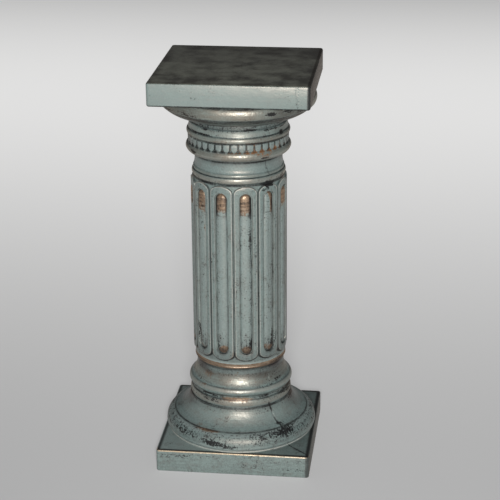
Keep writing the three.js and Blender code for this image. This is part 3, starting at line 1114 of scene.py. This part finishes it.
# %% Pale paint
abacus_side = z.ramped(CAPITAL_TOP, CAPITAL_TOP + 2.0) * z.ramped(COLUMN_HEIGHT - 0.8, COLUMN_HEIGHT - 2.4)
abacus_top = z.ramped(COLUMN_HEIGHT - 2.0, COLUMN_HEIGHT - 0.8)
# Painted highlight as well as rubbed paint: the panel edges are paler still at the upper arches.
rubbed_and_highlit_rims = shaft * in_panel.near(PANEL_HALF_WIDTH - 0.5, 1.3) * (
    0.50 + upper_end * 0.35 - lower_end * 0.05 + patch * 0.16
)
rubbed_and_highlit_rims = rubbed_and_highlit_rims + shaft * in_channel.near(CHANNEL_HALF_WIDTH + 1.0, 1.0) * 0.25
torus_fillet = z.near(41.8, 1.6) * radius.ramped(132.4, 131.8) * radius.ramped(126.0, 128.0)
rubbed_and_highlit_rims = rubbed_and_highlit_rims + torus_fillet * (patch * 0.2 + 0.55)
# Several of these bands sit on the highlights of the thin rings, the rounded lip, the fillet over the foot
# roll and the roll under the blocks: there they are painted highlight as well as pale paint.
pale_and_highlight_amount = bands(BASE_LOW, BASE_HIGH, (
    (44.0, 50.0, 2.0, 0.30), (68.5, 71.4, 1.6, 0.42), (110.0, 117.0, 1.5, 0.30),
    (136.5, 140.5, 1.5, 0.50), (186.6, 189.5, 0.6, 0.60),
)) + bands(CAPITAL_LOW, CAPITAL_HIGH, (
    (516.0, 522.0, 1.5, 0.35), (534.0, 546.0, 3.0, 0.18), (557.0, 562.0, 2.0, 0.50),
    (590.0, 594.5, 1.0, 0.08), (598.5, 606.0, 1.5, 0.16),
))
# Painted light: the abacus sides are paler on the left, less so towards the right.
pale_and_highlight_amount = pale_and_highlight_amount + abacus_side * (0.28 - x.ramped(0.0, 130.0) * 0.20)
# Painted light: the plinth top is paler towards the left.
pale_and_highlight_amount = pale_and_highlight_amount + plinth_top * x.ramped(60.0, -60.0) * 0.40
pale_and_highlight_amount = pale_and_highlight_amount + block_course * 0.35 + rod_face * 0.24 + shaft * 0.10 + z.near(88.0, 18.0) * 0.20
pale_and_highlight = (pale_and_highlight_amount + brush * 0.14 + blotch * 0.08).clamped()
print("pale paint laid")

# %% [markdown]
# ## The paint itself
#
# The layers are mixed in the order they were laid: verdigris in two tones, pale rubbed paint with its
# painted highlights, bronze, then the dark wash on top, because it was wiped on last. The painted shade goes
# in with the wash, in the same dark colour.

# %% Colours
VERDIGRIS = (0.155, 0.209, 0.199)
VERDIGRIS_DEEP = (0.066, 0.094, 0.093)
VERDIGRIS_PALE = (0.266, 0.314, 0.301)
RIM_PALE = (0.430, 0.425, 0.385)
ABACUS_TOP_GREEN = (0.165, 0.172, 0.140)
ABACUS_TOP_DARK = (0.038, 0.040, 0.033)
BRONZE = (0.345, 0.228, 0.142)
BRONZE_DEEP = (0.066, 0.033, 0.018)
BRONZE_RUBBED = (0.560, 0.430, 0.290)
BURNISHED = (0.520, 0.400, 0.300)
RUST = (0.280, 0.122, 0.040)
POLISHED = (0.640, 0.440, 0.300)
FILM = (0.078, 0.068, 0.060)
WASH_AND_SHADE = (0.012, 0.013, 0.016)
FOOT_ROLL = 182.0

tone = cloud * 0.10 + blotch * 0.16 + brush * 0.26
tone = tone + (specks * 0.24 + grit * 0.22) * (1.0 - abacus_side * 0.75)
tone = (tone + 0.34).clamped()
film = (patch * 0.5 + blotch * 0.4 + strokes * 0.2).ramped(-0.1, 1.1) * 0.34
colour = paint.mixed(tone, VERDIGRIS, VERDIGRIS_DEEP)
colour = paint.mixed(pale_and_highlight, colour, VERDIGRIS_PALE)
colour = paint.mixed(film * (1.0 - abacus_side * 0.6), colour, FILM)
# Painted warm highlight: the bronze colour is stronger in front, where the lamp's highlights fall.
colour = paint.mixed(polish * (front * 0.10 + 0.13), colour, POLISHED)
colour = paint.mixed(rubbed_and_highlit_rims, colour, RIM_PALE)
top_tone = cloud * 0.50 + patch * 0.42 + brush * 0.22 + specks * 0.10
# Painted shade: the top darkens towards its rounded rim.
top_tone = (top_tone + from_side.ramped(116.0, 131.0) * 0.30 + 0.42).clamped()
top_colour = paint.mixed(top_tone, ABACUS_TOP_GREEN, ABACUS_TOP_DARK)
colour = paint.mixed(abacus_top, colour, top_colour)
bronze_tone = blotch * 0.25 + specks * 0.25 + strokes * 0.35
bronze_tone = (bronze_tone + outer_side * rod_face * 0.30 + 0.34).clamped()
bronze_colour = paint.mixed(bronze_tone, BRONZE, BRONZE_DEEP)
bronze_colour = paint.mixed(z.near(FOOT_ROLL, 3.2) * 0.60, bronze_colour, BURNISHED)
colour = paint.mixed(bronze * 0.90, colour, bronze_colour)
colour = paint.mixed(rust * 0.85, colour, RUST)
colour = paint.mixed(plinth_line, colour, BRONZE_RUBBED)
below_top = 1.0 - abacus_top
colour = paint.mixed(painted_shade_and_wash * below_top, colour, WASH_AND_SHADE)
print("verdigris and bronze mixed")

# %% The wiped wash over them, with painted shade on the right sides of the plates
wash_and_side_shade = greatest([
    crease_lines * below_top,
    shaft_lines * (1.0 - bronze * 0.35),
    ragged_wash * (1.0 - bronze * 0.30) * below_top,
    rod_side_wash,
    block_gap * (1.0 - rust * 0.60) * (specks * 0.30 + 0.80).clamped(),
    seam, plinth_seam, top_crack, behind_line, painted_side_shade,
]).clamped()
colour = paint.mixed(wash_and_side_shade * 0.92, colour, WASH_AND_SHADE)

print("wash laid")

# %% How it shines
SPECULAR_TINT = (1.0, 0.82, 0.68, 1.0)
PAINT_IOR = 1.80
PAINT_ROUGHNESS = 0.43

roughness = specks * 0.04 + brush * 0.04 + wash_and_side_shade * 0.10 + polish * 0.01 - bronze * 0.02
roughness = roughness + torus_zone * 0.06 + PAINT_ROUGHNESS
roughness = roughness + rod_face * (1.0 - bronze) * 0.06
bronze_shine = bronze * (z.near(FOOT_ROLL, 4.0) * 0.30 + 0.56)
bare_metal = greatest([bronze_shine, polish * (front * 0.10 + 0.50), plinth_line * 0.5])
metal = greatest([bare_metal * (1.0 - wash_and_side_shade), wash_and_side_shade * 0.74])
paint.fill(paint.shader.inputs["Base Color"], colour)
paint.fill(paint.shader.inputs["Roughness"], roughness)
paint.fill(paint.shader.inputs["Metallic"], metal)
paint.fill(paint.shader.inputs["IOR"], PAINT_IOR)
paint.fill(paint.shader.inputs["Specular Tint"], SPECULAR_TINT)
print("shine set")

# %% Fine relief
RELIEF_DEPTH = 0.40
relief = (specks * 0.14 + brush * 0.20 + blotch * 0.15) * (1.0 - abacus_side * 0.6)
relief = relief + patch * 0.30 - from_seam.ramped(2.0, 0.6) * below_top * 0.8
bumped = paint.node(
    "ShaderNodeBump", {}, {"Height": relief, "Distance": RELIEF_DEPTH * MM, "Strength": 1.0}
)[0]
paint.fill(paint.shader.inputs["Normal"], bumped)
column.data.materials.clear()
column.data.materials.append(paint.material)
print("nodes in the finish:", len(paint.tree.nodes))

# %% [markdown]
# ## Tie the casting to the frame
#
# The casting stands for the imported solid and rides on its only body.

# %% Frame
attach(column, "root")
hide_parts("column")
